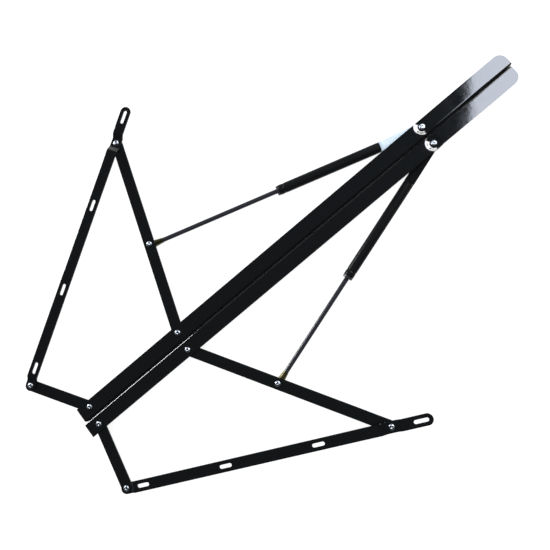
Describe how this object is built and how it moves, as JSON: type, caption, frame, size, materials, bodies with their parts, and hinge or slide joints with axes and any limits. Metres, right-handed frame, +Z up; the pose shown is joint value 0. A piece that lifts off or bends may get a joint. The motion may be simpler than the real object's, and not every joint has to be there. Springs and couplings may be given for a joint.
{
  "type": "gas strut bed lift mechanism pair",
  "caption": "Left and right lift mechanisms for a storage bed: angle base rails, crossed links, slotted lift rails and gas struts, lying open side by side.",
  "frame": {"origin": "on the surface that the rails stand on, under the middle of the pair's bounding box", "axes": "+X along the base rails towards the strut anchors, +Y towards the left hand unit, +Z up, away from the surface that the rail flanges stand on"},
  "size_m": [1.2286, 0.9376, 0.0375],
  "materials": {
    "black_paint": "gloss black baked paint",
    "zinc": "bright zinc plate",
    "washer_plastic": "black nylon",
    "cap_plastic": "black moulded plastic",
    "bronze": "sintered bronze",
    "seal_rubber": "black nitrile rubber",
    "chrome": "hard chrome, ground",
    "yellow_zinc": "yellow passivated zinc",
    "bare_steel": "turned steel"
  },
  "bodies": {
    "left_rail": {"left_base_rail": "black_paint", "left_rear_pivot_rivet": "zinc", "left_main_pivot_rivet": "zinc", "left_rail_washers": "washer_plastic", "left_anchor_stud": "zinc", "left_anchor_nut": "zinc"},
    "left_long_link": {"left_long_link": "black_paint", "left_strut_stud": "zinc"},
    "left_lift_rail": {"left_lift_rail": "black_paint", "left_front_lift_rivet": "zinc", "left_front_lift_washer": "washer_plastic", "left_rear_lift_rivet": "zinc"},
    "left_short_link": {"left_short_link": "black_paint", "left_rear_lift_washer": "washer_plastic", "left_rear_lift_tail": "zinc"},
    "left_strut_cylinder": {"left_strut_tube": "black_paint", "left_gland_cap": "cap_plastic", "left_rod_guide": "bronze", "left_rod_seal": "seal_rubber", "left_tube_end_plug": "black_paint", "left_end_bracket": "zinc"},
    "left_strut_rod": {"left_strut_rod": "chrome", "left_rod_end": "yellow_zinc", "left_rod_eye_pin": "zinc", "left_piston": "bare_steel", "left_piston_ring": "seal_rubber", "left_piston_nut": "bare_steel"},
    "right_rail": {"right_base_rail": "black_paint", "right_rear_pivot_rivet": "zinc", "right_main_pivot_rivet": "zinc", "right_rail_washers": "washer_plastic", "right_anchor_stud": "zinc", "right_anchor_nut": "zinc"},
    "right_long_link": {"right_long_link": "black_paint", "right_strut_stud": "zinc"},
    "right_lift_rail": {"right_lift_rail": "black_paint", "right_front_lift_rivet": "zinc", "right_front_lift_washer": "washer_plastic", "right_rear_lift_rivet": "zinc"},
    "right_short_link": {"right_short_link": "black_paint", "right_rear_lift_washer": "washer_plastic", "right_rear_lift_tail": "zinc"},
    "right_strut_cylinder": {"right_strut_tube": "black_paint", "right_gland_cap": "cap_plastic", "right_rod_guide": "bronze", "right_rod_seal": "seal_rubber", "right_tube_end_plug": "black_paint", "right_end_bracket": "black_paint"},
    "right_strut_rod": {"right_strut_rod": "chrome", "right_rod_end": "yellow_zinc", "right_rod_eye_pin": "zinc", "right_piston": "bare_steel", "right_piston_ring": "seal_rubber", "right_piston_nut": "bare_steel"}
  },
  "joints": [
    {"name": "left_lift", "type": "hinge", "parent": "left_rail", "child": "left_long_link", "pos_m": [-0.26768, -0.00222, 0.025], "axis": [0, 0, 1], "range_deg": [-60.3, 0]},
    {"name": "left_lift_rail_tilt", "type": "hinge", "parent": "left_long_link", "child": "left_lift_rail", "pos_m": [-0.11666, 0.41955, 0.027], "axis": [0, 0, 1], "range_deg": [-0.05, 28.6]},
    {"name": "left_short_link_swing", "type": "hinge", "parent": "left_rail", "child": "left_short_link", "pos_m": [-0.52068, -0.00222, 0.025], "axis": [0, 0, 1], "range_deg": [-91.21, 0.05]},
    {"name": "left_strut_swing", "type": "hinge", "parent": "left_rail", "child": "left_strut_cylinder", "pos_m": [0.39932, -0.00222, 0.022], "axis": [0, 0, 1], "range_deg": [-0.05, 13.56]},
    {"name": "left_strut_stroke", "type": "slide", "parent": "left_strut_cylinder", "child": "left_strut_rod", "axis": [-0.9516, 0.3072, 0], "range_m": [-0.162, 0.0002]},
    {"name": "right_lift", "type": "hinge", "parent": "right_rail", "child": "right_long_link", "pos_m": [-0.27268, -0.04423, 0.025], "axis": [0, 0, -1], "range_deg": [-48.7, 0]},
    {"name": "right_lift_rail_tilt", "type": "hinge", "parent": "right_long_link", "child": "right_lift_rail", "pos_m": [-0.03994, -0.42702, 0.027], "axis": [0, 0, -1], "range_deg": [-0.05, 23.85]},
    {"name": "right_short_link_swing", "type": "hinge", "parent": "right_rail", "child": "right_short_link", "pos_m": [-0.52568, -0.04423, 0.025], "axis": [0, 0, -1], "range_deg": [-70.13, 0.05]},
    {"name": "right_strut_swing", "type": "hinge", "parent": "right_rail", "child": "right_strut_cylinder", "pos_m": [0.39432, -0.04423, 0.022], "axis": [0, 0, -1], "range_deg": [-0.05, 13.03]},
    {"name": "right_strut_stroke", "type": "slide", "parent": "right_strut_cylinder", "child": "right_strut_rod", "axis": [-0.9545, -0.2983, 0], "range_m": [-0.12096, 0.0002]},
    {"name": "pair_spacing", "type": "slide", "parent": "left_rail", "child": "right_rail", "axis": [0, -1, 0], "range_m": [0, 0.6]}
  ],
  "couplings": [
    {"joint": "left_lift_rail_tilt", "follows": "left_lift", "ratio": -0.4735},
    {"joint": "left_short_link_swing", "follows": "left_lift", "ratio": 1.5118},
    {"joint": "left_strut_swing", "follows": "left_lift", "ratio": -0.2241},
    {"joint": "left_strut_stroke", "follows": "left_lift", "m_per_rad": 0.15374},
    {"joint": "right_lift_rail_tilt", "follows": "right_lift", "ratio": -0.48867},
    {"joint": "right_short_link_swing", "follows": "right_lift", "ratio": 1.439},
    {"joint": "right_strut_swing", "follows": "right_lift", "ratio": -0.26649},
    {"joint": "right_strut_stroke", "follows": "right_lift", "m_per_rad": 0.14207}
  ]
}
